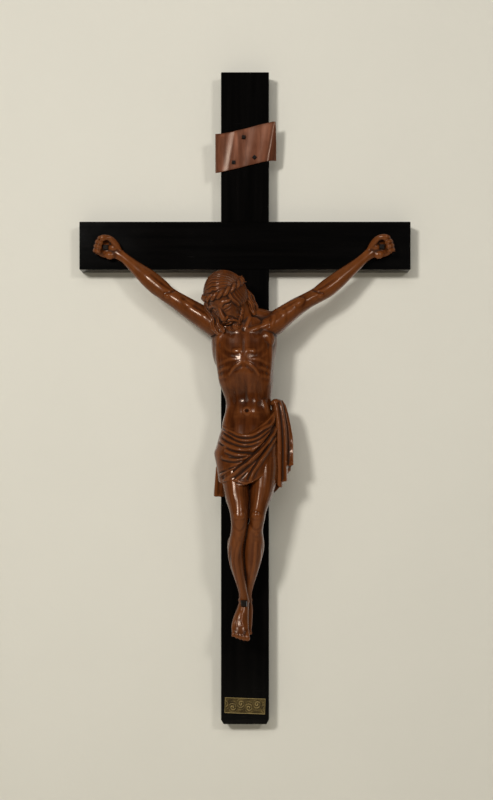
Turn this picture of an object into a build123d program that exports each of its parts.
from build123d import *
import math
import os
from collections import namedtuple

# Wall crucifix: an ebonised cross of two halved boards, a carved figure with separate arms,
# forged nails, a curled title scroll, a small plate and a keyhole hanger let into the back.
# Millimetres. +Z is up, the front faces -Y, and the back of the boards lies on Y = 0.
# The origin is the centre of the hanger's entry hole, in the plane of the back.

# Boards of the cross
post_height = 1034.0
post_width = 76.0
bar_length = 525.0
bar_width = 76.0
board_thickness = 34.0
bar_below_top = 275.0          # from the post's top to the middle of the bar
hanger_below_top = 100.0
arris = 0.9                    # eased edges of both boards
foot_bevel_height = 8.0        # bevel round the front of the post's lower end
foot_bevel_depth = 4.0
lap_share = 0.5                # share of the thickness that the bar keeps at the halving

# Screws in the back of the halving
lap_screw_spacing = 42.0
lap_screw_length = 27.0
lap_screw_diameter = 4.0
lap_screw_head = 8.0

# Hanger: a round keyhole plate, flush with the back
hanger_diameter = 36.0
hanger_thickness = 2.0
hanger_entry_radius = 4.75
hanger_slot_width = 4.8
hanger_slot_rise = 9.0
hanger_pocket_depth = 9.0      # room for the wall screw's head, behind the plate
hanger_pocket_margin = 1.5
hanger_recess_clearance = 0.15
hanger_screw_spacing = 24.0
hanger_screw_diameter = 3.0
hanger_screw_head = 5.6
hanger_screw_length = 14.0

# Nails of the figure
hand_nail_head = 9.0
hand_nail_head_height = 6.0
hand_nail_shank = 4.4
feet_nail_head = 10.0
feet_nail_head_height = 6.0
feet_nail_shank = 5.0
nail_bite = 22.0               # depth of every figure nail in the boards
nail_point = 8.0
nail_head_taper = 0.78         # top of a nail's head against its base

# Title scroll and its nails
scroll_width = 94.0
scroll_height = 60.0
scroll_thickness = 4.0
scroll_slope = 14.0            # degrees, rising to the right
scroll_lean = 10.0             # degrees, lean of its roll lines
scroll_curl_front = 12.0       # left end stands this far forward
scroll_curl_back = 7.0         # right end falls this far back
scroll_below_top = 120.0       # its middle
scroll_nail_head = 6.0
scroll_nail_head_height = 2.4
scroll_nail_shank = 3.0
scroll_nail_bite = 14.0
scroll_nail_point = 5.0
ScrollNail = namedtuple("ScrollNail", "x z turn")
scroll_nails = [ScrollNail(-2, 16, 4), ScrollNail(-18, -24, 0), ScrollNail(15, -16, 42)]

# Small plate at the foot
plate_width = 64.0
plate_height = 24.5
plate_thickness = 1.2
plate_corner = 0.8
plate_above_foot = 30.0        # its middle
plate_turn = -2.0              # degrees

# Joints of the figure
shoulder_dowel_diameter = 10.0
shoulder_dowel_length = 44.0
fall_dowel_diameter = 6.0
fall_dowel_length = 22.0

# The figure is lofted through ovals. Each one has a middle: x, out from the boards' front and up
# from the middle of the bar; then its width across the limb in the front view, and its depth.
Oval = namedtuple("Oval", "x out up wide deep")
section_step = 16.0                    # between the sections of every loft

torso_ovals = [
    Oval(-2, 38, -121, 50, 40),        # root of the neck
    Oval(-1.5, 36, -136, 94, 54),      # shoulders
    Oval(-1.5, 34, -160, 101, 68),     # armpits
    Oval(0, 35, -186, 92, 71),         # chest
    Oval(1, 34, -215, 84, 67),         # rib arch
    Oval(5.5, 31, -249, 71, 55),       # waist
    Oval(4, 32, -277, 75, 59),         # belly
    Oval(2, 34, -308, 80, 62),         # hips, inside the loincloth
]
neck_ovals = [
    Oval(-1, 38, -130, 40, 36),
    Oval(-7, 43, -112, 35, 36),
    Oval(-15, 53, -96, 35, 38),
]
right_leg_ovals = [
    Oval(-19, 41, -326, 40, 50),       # hip, inside the loincloth
    Oval(-15.5, 49, -365, 42, 53),
    Oval(-13, 58, -388, 38, 46),
    Oval(-10, 68, -410, 32, 38),
    Oval(-8.5, 74, -426, 27, 31),      # knee
    Oval(-9, 71, -444, 24, 28),
    Oval(-13.5, 64, -467, 23.5, 29),
    Oval(-14.5, 60, -482, 24, 29),     # calf
    Oval(-12, 55, -503, 21.5, 25),
    Oval(-7.5, 49, -523, 17, 19),
    Oval(-3, 44, -545, 13.8, 15.6),
    Oval(-1.5, 43, -561, 16.5, 18),    # ankle
    Oval(-4, 46, -575, 21, 20),
    Oval(-7, 51, -588, 26, 18),
    Oval(-7.5, 57, -600, 27, 13),
    Oval(-7, 60, -608, 25, 9),         # root of the toes
]
left_leg_ovals = [
    Oval(21, 39, -318, 34, 48),
    Oval(28.5, 47, -365, 41, 54),
    Oval(25.5, 55, -388, 36, 47),
    Oval(21.5, 62, -410, 28.5, 37),
    Oval(18.5, 67, -426, 25, 30),
    Oval(16.5, 63, -444, 22.5, 27),
    Oval(17, 54, -466, 25, 29),
    Oval(16.5, 49, -482, 23.5, 28),
    Oval(13, 43, -505, 19, 24),
    Oval(9, 35, -525, 15, 18),
    Oval(5, 26, -545, 13, 15),
    Oval(3.5, 20, -561, 15, 16),
    Oval(3, 22, -575, 20, 17),
    Oval(0, 28, -592, 23, 15),
    Oval(-1, 34, -603, 22, 12),
    Oval(-1, 37, -610, 20, 8),
]
ankle_oval = 11                        # the leg's oval that the nail goes through
heel_radius = 8.5
heel_drop = 5.0                        # heel below the nail, and how far behind the ankle
heel_behind = 4.5
right_arm_ovals = [
    Oval(-26, 35, -142, 40, 44),       # inside the shoulder
    Oval(-46, 33, -130, 38, 40),       # seat of the joint
    Oval(-62, 30, -119, 36, 36),
    Oval(-90, 26, -101, 31, 31),
    Oval(-110, 23, -87.5, 27, 26),
    Oval(-122, 22, -79.5, 26.5, 25),   # elbow
    Oval(-138, 20, -66, 30, 26),
    Oval(-152, 18.5, -54, 29.5, 25),   # forearm
    Oval(-172, 15, -37, 21.5, 20),
    Oval(-190, 11.5, -21.5, 16, 15),   # wrist
    Oval(-199, 9.5, -15, 18, 15),
    Oval(-208, 8, -10.5, 25, 15.5),
    Oval(-219, 7, -5.5, 32, 15.5),     # palm
    Oval(-228, 7, -2, 32, 13),
    Oval(-231, 7, -1, 27, 9),
]
left_arm_ovals = [
    Oval(24, 35, -140, 39, 44),
    Oval(44, 33, -128, 37, 40),
    Oval(58, 30, -117, 34, 36),
    Oval(81, 26, -100, 28.5, 30),
    Oval(100, 23, -88.5, 25, 25.5),
    Oval(112, 22, -82, 24.5, 24.5),
    Oval(130, 20, -69.5, 28.5, 25.5),
    Oval(146, 18, -57, 27, 24.5),
    Oval(170, 15, -37, 20, 19.5),
    Oval(189, 11.5, -20.5, 15.5, 15),
    Oval(197, 9.5, -14, 18, 15),
    Oval(205, 8, -9.5, 25, 15.5),
    Oval(215, 7, -4.5, 32, 15.5),
    Oval(224, 7, -1, 32, 13),
    Oval(227, 7, 0, 27, 9),
]
seat_oval = 1                          # the arm's oval that lies in the shoulder joint
palm_oval = 12                         # the arm's oval that the nail goes through

# Fingers and toes
finger_radius = 3.7
finger_spacing = 7.6
finger_reach = 5.0                     # how far a knuckle stands past the palm
finger_curl = 16.0                     # how far a finger stands out from its root
thumb_radius = 4.3
toe_radius = 3.3
toe_spacing = 5.2
toe_count = 5

# Head: its middle, then its turn, nod and lean in degrees. Its ovals are in its own frame.
head_x, head_out, head_up = -29.0, 57.0, -90.0
head_turn, head_nod, head_lean = -34.0, 24.0, -30.0
face_ovals = [
    Oval(0, 18, -43, 14, 12),         # tip of the beard
    Oval(0, 15, -36, 27, 25),
    Oval(0, 9, -24, 40, 44),          # jaw
    Oval(0, 4, -8, 50, 60),
    Oval(0, 0, 8, 54, 68),            # brow
    Oval(0, -2, 22, 50, 62),
    Oval(0, -3, 33, 36, 46),
    Oval(0, -3, 38, 18, 24),
]
hair_ovals = [
    Oval(0, -13, -36, 40, 34),        # nape
    Oval(0, -12, -20, 55, 50),
    Oval(0, -8, 0, 61, 62),
    Oval(0, -5, 16, 60, 70),
    Oval(0, -4, 27, 50, 62),
    Oval(0, -4, 35, 32, 42),
    Oval(0, -4, 39, 12, 16),          # top
]
nose_ovals = [
    Oval(0, 32, 9, 5, 6),
    Oval(0, 35, -1, 7, 8),
    Oval(0, 36, -8, 10, 9),
    Oval(0, 34, -11, 7, 6),
]
crown_wide, crown_deep = 61.0, 71.0    # middle line of the plaited crown, which lies on the hair
crown_up, crown_out = 14.0, -4.0
crown_tilt = -8.0                      # degrees, lower at the back
crown_thickness = 9.0
left_lock_ovals = [
    Oval(-1, 48, -78, 16, 16),
    Oval(6, 47, -90, 17, 17),
    Oval(11, 46, -101, 15, 15),
    Oval(15, 46, -109, 10, 11),
    Oval(17, 46, -114, 6, 7),
]
right_lock_ovals = [
    Oval(-56, 46, -94, 15, 16),
    Oval(-53, 50, -110, 16, 16),
    Oval(-47, 54, -122, 15, 15),
    Oval(-43, 55, -134, 12, 13),
    Oval(-37, 56, -145, 6, 7),
]

# Loincloth: draped sections with slanting folds, which tilt (right side up) and dip in front
Drape = namedtuple("Drape", "x out up wide deep tilt dip")
cloth_drapes = [
    Drape(5, 33, -280, 86, 67, 20, 24),
    Drape(4, 35, -294, 92, 71, 20, 18),
    Drape(3, 38, -318, 100, 74, 20, 10),
    Drape(3, 41, -340, 102, 76, 22, 4),
    Drape(3, 44, -356, 101, 76, 24, 0),
]
fall_drapes = [
    Drape(48, 31, -246, 13, 20, 0, 0),
    Drape(55, 31, -258, 20, 28, 0, 0),
    Drape(59, 32, -278, 23, 32, 0, 0),
    Drape(61, 32, -300, 24, 33, 0, 0),
    Drape(63, 32, -322, 25, 33, 0, 0),
    Drape(62, 32, -345, 21, 31, 0, 0),
    Drape(60.5, 32, -364, 18, 27, 0, 0),
    Drape(58, 32, -378, 12, 20, 0, 0),
]
tail_drapes = [
    Drape(-30, 21, -340, 18, 24, 0, 0),
    Drape(-36, 18, -368, 17, 22, 0, 0),
    Drape(-40, 16, -394, 17, 20, 0, 0),
]
fall_dowel_drape = 2                   # the fall's section that its dowel enters
fold_count = 11
fold_depth = 1.5
fold_sweep = 26.0                      # degrees that the folds turn from one section to the next
points_per_fold = 4

crossing_up = hanger_below_top - bar_below_top
front = -board_thickness
post_top = hanger_below_top
post_foot = post_top - post_height


def at(x, out, up):
    """A point given across, out from the boards' front, and up from the middle of the bar."""
    return Vector(x, front - out, crossing_up + up)


def spread(stations, step):
    """The same run with its sections at even steps, so that a loft passes smoothly through them."""
    reach = [0.0]
    for near, far in zip(stations, stations[1:]):
        reach.append(reach[-1] + math.dist(near[:3], far[:3]))
    last = len(stations) - 1

    def slope(i, field):
        before, after = max(i - 1, 0), min(i + 1, last)
        return (stations[after][field] - stations[before][field]) / (reach[after] - reach[before])

    count = max(2, round(reach[-1] / step))
    spaced = []
    for n in range(count + 1):
        place = reach[-1] * n / count
        i = min(sum(place > r for r in reach[1:]), last - 1)
        span = reach[i + 1] - reach[i]
        t = (place - reach[i]) / span
        values = []
        for field in range(len(stations[0])):
            start, end = stations[i][field], stations[i + 1][field]
            values.append(
                (1 + 2 * t) * (1 - t) ** 2 * start + t * t * (3 - 2 * t) * end
                + span * (t * (1 - t) ** 2 * slope(i, field) - t * t * (1 - t) * slope(i + 1, field)))
        spaced.append(type(stations[0])(*values))
    return spaced


def oval_loft(ovals, level=False):
    """A limb through its ovals, each square to the limb's run, or level for the trunk."""
    ovals = spread(ovals, section_step)
    middles = [at(o.x, o.out, o.up) for o in ovals]
    sections = []
    for i, oval in enumerate(ovals):
        before = middles[max(i - 1, 0)]
        after = middles[min(i + 1, len(ovals) - 1)]
        run = Vector(0, 0, -1) if level else (after - before).normalized()
        across = run.cross(Vector(0, 1, 0)).normalized()
        plane = Plane(origin=middles[i], x_dir=across, z_dir=run)
        sections.append(plane * Ellipse(oval.wide / 2, oval.deep / 2))
    return loft(sections)


def head_place():
    middle = at(head_x, head_out, head_up)
    return Pos(*middle) * Rot(0, head_lean, 0) * Rot(head_nod, 0, 0) * Rot(0, 0, head_turn)


def head_loft(ovals):
    """A form of the head through level ovals in the head's own frame."""
    sections = []
    for oval in spread(ovals, section_step):
        middle = Pos(oval.x, -oval.out, oval.up)
        sections.append(middle * Ellipse(oval.wide / 2, oval.deep / 2))
    return head_place() * loft(sections)


def crown():
    """The ring of the plaited crown, in two halves."""
    halves = []
    for start in (0, 180):
        path = EllipticalCenterArc((0, 0), crown_wide / 2, crown_deep / 2, start, arc_size=180)
        section = Plane(origin=path @ 0, z_dir=path % 0) * Circle(crown_thickness / 2)
        halves.append(sweep(section, path=path))
    place = head_place() * Pos(0, -crown_out, crown_up) * Rot(crown_tilt, 0, 0)
    return [place * half for half in halves]


def drape_place(drape):
    turn = Rot(0, -drape.tilt, 0) * Rot(drape.dip, 0, 0)
    return Pos(*at(drape.x, drape.out, drape.up)) * turn


def drape_loft(drapes, folds, depth, sweep):
    """Cloth through rippled sections, whose ripples turn from one to the next."""
    sections = []
    steps = folds * points_per_fold
    for i, drape in enumerate(spread(drapes, 2 * section_step)):
        points = []
        for step in range(steps):
            angle = 2 * math.pi * step / steps
            ripple = depth * math.cos(folds * (angle - math.radians(sweep * i)))
            points.append((
                (drape.wide / 2 + ripple) * math.cos(angle),
                (drape.deep / 2 + ripple) * math.sin(angle),
            ))
        outline = make_face(Spline(*points, periodic=True))
        sections.append(drape_place(drape) * outline)
    return loft(sections)


def square_nail(tip_out, base_out, head, head_height, shank, point):
    """A forged nail along Y: tapered square head, square shank, pointed tip. Middle at x = z = 0."""
    facing = Plane(origin=(0, front - base_out, 0), x_dir=(1, 0, 0), z_dir=(0, -1, 0))
    crown = loft([
        facing * Rectangle(head, head),
        facing.offset(head_height) * Rectangle(head * nail_head_taper, head * nail_head_taper),
    ])
    straight = base_out - tip_out - point
    body = extrude(facing * Rectangle(shank, shank), -straight)
    end = facing.offset(-straight)
    tip = loft([end * Rectangle(shank, shank), Vertex(0, front - tip_out, 0)])
    return crown + body + tip


def countersunk_screw(head, shank, length):
    """A screw along -Y with its flat head in the plane Y = 0."""
    sink = (head - shank) / 2
    outline = Polyline(
        (0, 0), (head / 2, 0), (shank / 2, -sink), (shank / 2, -length + shank),
        (0, -length), (0, 0),
    )
    return revolve(make_face(outline), axis=Axis.Y)


def boxed(x0, x1, y0, y1, z0, z1):
    return Pos((x0 + x1) / 2, (y0 + y1) / 2, (z0 + z1) / 2) * Box(x1 - x0, y1 - y0, z1 - z0)


def round_bore(x, z, radius, depth, start=0.0):
    """A cylinder going into the back from Y = start, towards the front."""
    return Pos(x, start - depth / 2, z) * Rot(90, 0, 0) * Cylinder(radius, depth)


# Boards

def make_post():
    post = boxed(-post_width / 2, post_width / 2, front, 0, post_foot, post_top)
    bottom = post.faces().sort_by(Axis.Z)[0]
    bevelled = [e for e in bottom.edges() if e.center().Y < -arris]
    post = chamfer(bevelled, foot_bevel_depth, foot_bevel_height, reference=bottom)
    eased = [e for e in post.edges() if e.center().Z > post_foot + foot_bevel_height]
    post = chamfer(eased, arris)
    lap_back = front + board_thickness * lap_share
    half = bar_width / 2
    notch = boxed(-post_width, post_width, front - 1, lap_back, crossing_up - half, crossing_up + half)
    return post - notch


def make_bar():
    half = bar_width / 2
    bar = boxed(-bar_length / 2, bar_length / 2, front, 0, crossing_up - half, crossing_up + half)
    bar = chamfer(bar.edges(), arris)
    lap_back = front + board_thickness * lap_share
    notch = boxed(-post_width / 2, post_width / 2, lap_back, 1,
                  crossing_up - bar_width, crossing_up + bar_width)
    return bar - notch


def make_lap_screws():
    screws = []
    reach = lap_screw_spacing / 2
    for x in (-reach, reach):
        for z in (-reach, reach):
            screw = countersunk_screw(lap_screw_head, lap_screw_diameter, lap_screw_length)
            screws.append(Pos(x, 0, crossing_up + z) * screw)
    return screws


# Hanger

def keyhole(width, rise, depth, start):
    """The slot above an entry hole, going into the back."""
    slot = boxed(-width / 2, width / 2, start - depth, start, 0, rise)
    return slot + round_bore(0, rise, width / 2, depth, start)


def make_hanger_screws():
    screws = []
    for x in (-hanger_screw_spacing / 2, hanger_screw_spacing / 2):
        screw = countersunk_screw(hanger_screw_head, hanger_screw_diameter, hanger_screw_length)
        screws.append(Pos(x, 0, 0) * screw)
    return screws


def make_hanger():
    plate = round_bore(0, 0, hanger_diameter / 2, hanger_thickness)
    entry = round_bore(0, 0, hanger_entry_radius, hanger_thickness)
    return plate - entry - keyhole(hanger_slot_width, hanger_slot_rise, hanger_thickness, 0)


def hanger_recess():
    """What the post loses behind the hanger: the plate's seat, and room for a screw's head."""
    seat = round_bore(0, 0, hanger_diameter / 2 + hanger_recess_clearance, hanger_thickness)
    pocket_radius = hanger_entry_radius + hanger_pocket_margin
    pocket = round_bore(0, 0, pocket_radius, hanger_pocket_depth, -hanger_thickness)
    rise = keyhole(2 * pocket_radius, hanger_slot_rise, hanger_pocket_depth, -hanger_thickness)
    return seat + pocket + rise


# Title scroll

def make_scroll():
    """An S-curled band, leaning along its roll lines, trimmed to a sloping outline."""
    half = scroll_width / 2
    tall = 2 * scroll_height
    lean = math.tan(math.radians(scroll_lean))
    spare = half + tall * lean
    edge = post_width / 2
    wave = [
        (-spare, -2.2 * scroll_curl_front),
        (-half, -scroll_curl_front),
        ((-half - edge / 2) / 2, -0.3 * scroll_curl_front),
        (-edge / 2, 0),
        (0, 0),
        (edge, 0),
        ((edge + half) / 2, 0.35 * scroll_curl_back),
        (half, scroll_curl_back),
        (spare, 2.2 * scroll_curl_back),
    ]
    back = Spline(*wave)
    face = Pos(0, -scroll_thickness) * back
    band = make_face([back, Line(back @ 1, face @ 1), face, Line(face @ 0, back @ 0)])
    low = Pos(-tall * lean / 2, 0, -tall / 2) * band
    sheet = extrude(low, amount=tall / math.cos(math.radians(scroll_lean)), dir=(lean, 0, 1))
    climb = half * math.tan(math.radians(scroll_slope))
    outline = Polyline(
        (-half, -scroll_height / 2 - climb), (half, -scroll_height / 2 + climb),
        (half, scroll_height / 2 + climb), (-half, scroll_height / 2 - climb), close=True,
    )
    stamp = extrude(Plane.XZ * make_face(outline), amount=scroll_width, both=True)
    scroll = sheet & stamp
    return Pos(0, front, post_top - scroll_below_top) * scroll


def make_scroll_nails():
    nails = []
    for spot in scroll_nails:
        nail = square_nail(-scroll_nail_bite, scroll_thickness, scroll_nail_head,
                           scroll_nail_head_height, scroll_nail_shank, scroll_nail_point)
        place = Pos(spot.x, 0, post_top - scroll_below_top + spot.z)
        nails.append(place * Rot(0, spot.turn, 0) * nail)
    return nails


def make_plate():
    face = RectangleRounded(plate_width, plate_height, plate_corner)
    plate = extrude(Plane.XZ * face, amount=plate_thickness)
    return Pos(0, front, post_foot + plate_above_foot) * Rot(0, -plate_turn, 0) * plate


# The figure

def toes(ovals, side):
    """Toes along the end of a foot, the big toe on the given side."""
    end = ovals[-1]
    made = []
    for i in range(toe_count):
        across = (i - (toe_count - 1) / 2) * toe_spacing * side
        radius = toe_radius * (1.25 - 0.1 * i)
        drop = radius + 0.35 * i
        made.append(Pos(*at(end.x - across, end.out, end.up - toe_radius + drop * 0.2))
                    * Sphere(radius))
    return made


def heel(ovals):
    ankle = ovals[ankle_oval]
    return Pos(*at(ankle.x, ankle.out - heel_behind, ankle.up - heel_drop)) * Sphere(heel_radius)


def hand(ovals, thumb_side):
    """Four curled fingers and a thumb on the end of an arm."""
    knuckle, palm, wrist = ovals[-2], ovals[-3], ovals[-6]
    run = (at(knuckle.x, 0, knuckle.up) - at(palm.x, 0, palm.up)).normalized()
    across = Vector(0, -1, 0).cross(run) * thumb_side
    outward = Vector(0, -1, 0)
    root = at(knuckle.x, knuckle.out, knuckle.up)
    made = []
    for i in range(4):
        base = root + across * ((1.5 - i) * finger_spacing) - run * 2
        middle = base + run * finger_reach + outward * (finger_curl * 0.55)
        end = base - run * 2 + outward * finger_curl
        path = ThreePointArc(base, middle, end)
        section = Plane(origin=base, z_dir=path % 0) * Circle(finger_radius)
        made.append(sweep(section, path=path))
        made.append(Pos(*end) * Sphere(finger_radius))
    start = at(wrist.x, wrist.out, wrist.up) + run * 4 + across * 6
    bend = at(palm.x, palm.out, palm.up) - run * 3 + across * 16 + outward * 5
    tip = at(knuckle.x, knuckle.out, knuckle.up) - run * 3 + across * 13 + outward * 11
    path = ThreePointArc(start, bend, tip)
    section = Plane(origin=start, z_dir=path % 0) * Circle(thumb_radius)
    made.append(sweep(section, path=path))
    made.append(Pos(*tip) * Sphere(thumb_radius))
    return made


def seat_plane(ovals):
    """The plane of the shoulder joint, facing out along the arm."""
    seat, after, before = ovals[seat_oval], ovals[seat_oval + 1], ovals[seat_oval - 1]
    run = (at(after.x, after.out, after.up) - at(before.x, before.out, before.up)).normalized()
    return Plane(origin=at(seat.x, seat.out, seat.up), z_dir=run)


def fused(pieces):
    whole = pieces[0]
    for piece in pieces[1:]:
        whole = whole + piece
    return whole


def in_front(shape):
    """The shape without what would reach into the boards: a flat back on them."""
    far = 2 * post_height
    return shape - boxed(-far, far, front, far, -far, far)


def make_arm(ovals, thumb_side):
    """The outer part of an arm with its hand, and the stub that stays on the trunk."""
    whole = oval_loft(ovals)
    plane = seat_plane(ovals)
    arm = split(whole, bisect_by=plane, keep=Keep.TOP)
    stub = split(whole, bisect_by=plane, keep=Keep.BOTTOM)
    return in_front(fused([arm] + hand(ovals, thumb_side))), stub


def above(shape, drape):
    return split(shape, bisect_by=Plane(drape_place(drape)), keep=Keep.TOP)


def below(shape, drape):
    return split(shape, bisect_by=Plane(drape_place(drape)), keep=Keep.BOTTOM)


def make_legs():
    """Both legs and the cloth's trailing end, which come out of the loincloth's hem."""
    hem = cloth_drapes[-1]
    legs = []
    for ovals, side in ((right_leg_ovals, 1), (left_leg_ovals, -1)):
        legs.append(fused([below(oval_loft(ovals), hem), heel(ovals)] + toes(ovals, side)))
    tail = drape_loft(tail_drapes, fold_count // 2, fold_depth, 0)
    return legs + [below(tail, hem)]


def make_head():
    pieces = [head_loft(face_ovals), head_loft(hair_ovals), head_loft(nose_ovals)]
    pieces += crown() + [oval_loft(left_lock_ovals), oval_loft(right_lock_ovals)]
    return pieces


def make_trunk(stubs):
    torso = above(oval_loft(torso_ovals, level=True), cloth_drapes[0])
    cloth = drape_loft(cloth_drapes, fold_count, fold_depth, fold_sweep / fold_count)
    pieces = [torso] + stubs + [oval_loft(neck_ovals)] + make_head()
    return in_front(fused(pieces + [cloth] + make_legs()))


def hand_nail(ovals):
    palm = ovals[palm_oval]
    nail = square_nail(-nail_bite, palm.out + palm.deep / 2 - 1, hand_nail_head,
                       hand_nail_head_height, hand_nail_shank, nail_point)
    return Pos(palm.x, 0, crossing_up + palm.up) * nail


def feet_nail():
    ankle = right_leg_ovals[ankle_oval]
    nail = square_nail(-nail_bite, ankle.out + ankle.deep / 2 - 1, feet_nail_head,
                       feet_nail_head_height, feet_nail_shank, nail_point)
    return Pos(ankle.x, 0, crossing_up + ankle.up) * nail


def shoulder_dowel(ovals):
    return seat_plane(ovals) * Cylinder(shoulder_dowel_diameter / 2, shoulder_dowel_length)


def fall_dowel():
    """A dowel along X, half in the hip and half in the hanging fold."""
    hip = fall_drapes[fall_dowel_drape]
    inner = hip.x - hip.wide / 2
    return Pos(*at(inner + 4, hip.out, hip.up)) * Rot(0, 90, 0) * Cylinder(
        fall_dowel_diameter / 2, fall_dowel_length)


def build():
    right_arm, right_stub = make_arm(right_arm_ovals, -1)
    left_arm, left_stub = make_arm(left_arm_ovals, 1)
    trunk = make_trunk([right_stub, left_stub])
    right_dowel, left_dowel = shoulder_dowel(right_arm_ovals), shoulder_dowel(left_arm_ovals)
    hip_dowel = fall_dowel()
    right_nail, left_nail = hand_nail(right_arm_ovals), hand_nail(left_arm_ovals)
    foot_nail = feet_nail()
    right_arm = right_arm - trunk - right_dowel - right_nail
    left_arm = left_arm - trunk - left_dowel - left_nail
    fall = in_front(drape_loft(fall_drapes, fold_count // 2, fold_depth, 0)) - trunk - hip_dowel
    trunk = trunk - right_dowel - left_dowel - hip_dowel - foot_nail

    scroll_pins = make_scroll_nails()
    lap_screws = make_lap_screws()
    hanger_screws = make_hanger_screws()
    post = make_post() - hanger_recess() - foot_nail
    bar = make_bar() - right_nail - left_nail
    scroll = make_scroll() - post
    hanger = make_hanger()
    for pin in scroll_pins:
        post = post - pin
        scroll = scroll - pin
    for screw in lap_screws:
        post = post - screw
        bar = bar - screw
    for screw in hanger_screws:
        post = post - screw
        hanger = hanger - screw
    return {
        "post": post,
        "crossbar": bar,
        "lap_screws": Compound(children=lap_screws),
        "corpus_trunk": trunk,
        "right_arm": right_arm,
        "left_arm": left_arm,
        "right_shoulder_dowel": right_dowel,
        "left_shoulder_dowel": left_dowel,
        "loincloth_fall": fall,
        "loincloth_fall_dowel": hip_dowel,
        "right_hand_nail": right_nail,
        "left_hand_nail": left_nail,
        "feet_nail": foot_nail,
        "title_scroll": scroll,
        "scroll_nails": Compound(children=scroll_pins),
        "foot_plate": make_plate(),
        "hanger_plate": hanger,
        "hanger_screws": Compound(children=hanger_screws),
    }


os.makedirs("parts", exist_ok=True)
for name, shape in build().items():
    export_step(shape, f"parts/{name}.step")
    print(name, len(shape.solids()), "solids", round(shape.volume, 1), "mm3")
